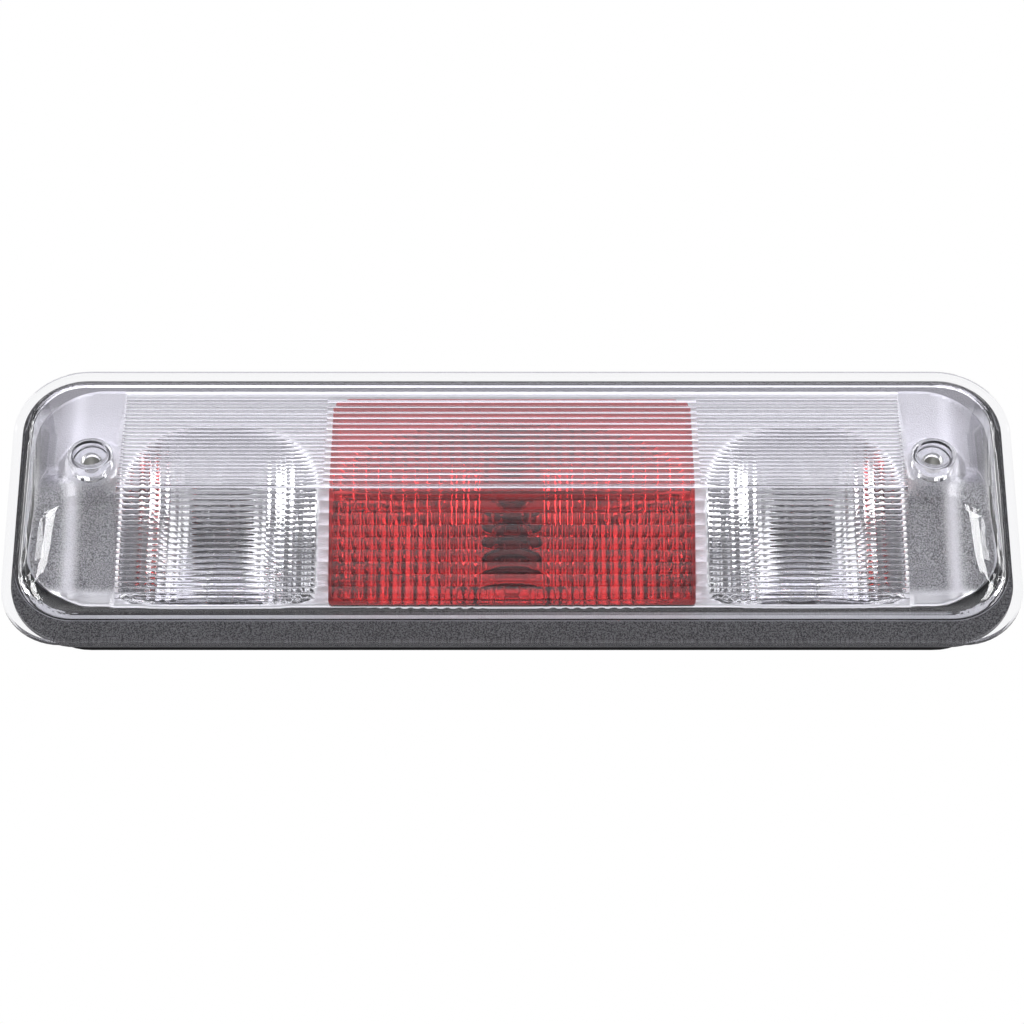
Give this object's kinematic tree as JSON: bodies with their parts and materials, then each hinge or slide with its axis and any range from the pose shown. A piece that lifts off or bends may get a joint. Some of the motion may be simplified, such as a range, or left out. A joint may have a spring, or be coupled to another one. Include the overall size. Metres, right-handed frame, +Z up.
{
  "type": "third brake light",
  "caption": "Raked high-mount stop lamp: clear ribbed lens over a red stop section between two clear cargo-light sections, on a gasketed housing with twist-out bulb sockets.",
  "frame": {"origin": "midway between the axes of the two mounting screws, on the plane of the body panel behind the gasket", "axes": "+X along the lamp, +Z up, -Y outwards from the panel towards the viewer"},
  "size_m": [0.372, 0.077, 0.1155],
  "materials": {
    "clear_lens": "clear moulded polycarbonate, polished outside, ribbed inside",
    "red_plastic": "transparent red moulded plastic",
    "metallised_plastic": "vacuum-metallised plastic, bright in the bowls and grained at the ends",
    "housing_plastic": "dark grained moulded plastic",
    "gasket_foam": "closed-cell black foam",
    "sealing_bead": "grey sealing bead",
    "zinc_steel": "zinc-plated steel",
    "breather_membrane": "white breathable membrane",
    "socket_plastic": "dark glass-filled plastic",
    "seal_rubber": "silicone rubber",
    "contact_brass": "plain brass strip",
    "bulb_glass": "clear glass",
    "filament_wire": "support wires and tungsten coil"
  },
  "bodies": {
    "lamp": {"outer_lens": "clear_lens", "red_filter": "red_plastic", "reflector": "metallised_plastic", "housing": "housing_plastic", "mounting_gasket": "gasket_foam", "lens_seal": "sealing_bead", "screw_sleeves": "zinc_steel", "breather_patch": "breather_membrane"},
    "left_socket_unit": {"left_socket": "socket_plastic", "left_socket_seal": "seal_rubber", "left_contacts": "contact_brass", "left_bulb": "bulb_glass", "left_filament": "filament_wire"},
    "stop_socket_unit": {"stop_socket": "socket_plastic", "stop_socket_seal": "seal_rubber", "stop_contacts": "contact_brass", "stop_bulb": "bulb_glass", "stop_filament": "filament_wire"},
    "right_socket_unit": {"right_socket": "socket_plastic", "right_socket_seal": "seal_rubber", "right_contacts": "contact_brass", "right_bulb": "bulb_glass", "right_filament": "filament_wire"}
  },
  "joints": [
    {"name": "left_socket_turn", "type": "hinge", "parent": "lamp", "child": "left_socket_unit", "pos_m": [-0.1077, 0.02, -0.019], "axis": [0, 1, 0], "range_deg": [0, 40]},
    {"name": "stop_socket_turn", "type": "hinge", "parent": "lamp", "child": "stop_socket_unit", "pos_m": [0, 0.02, -0.019], "axis": [0, 1, 0], "range_deg": [0, 40]},
    {"name": "right_socket_turn", "type": "hinge", "parent": "lamp", "child": "right_socket_unit", "pos_m": [0.1077, 0.02, -0.019], "axis": [0, 1, 0], "range_deg": [0, 40]}
  ]
}
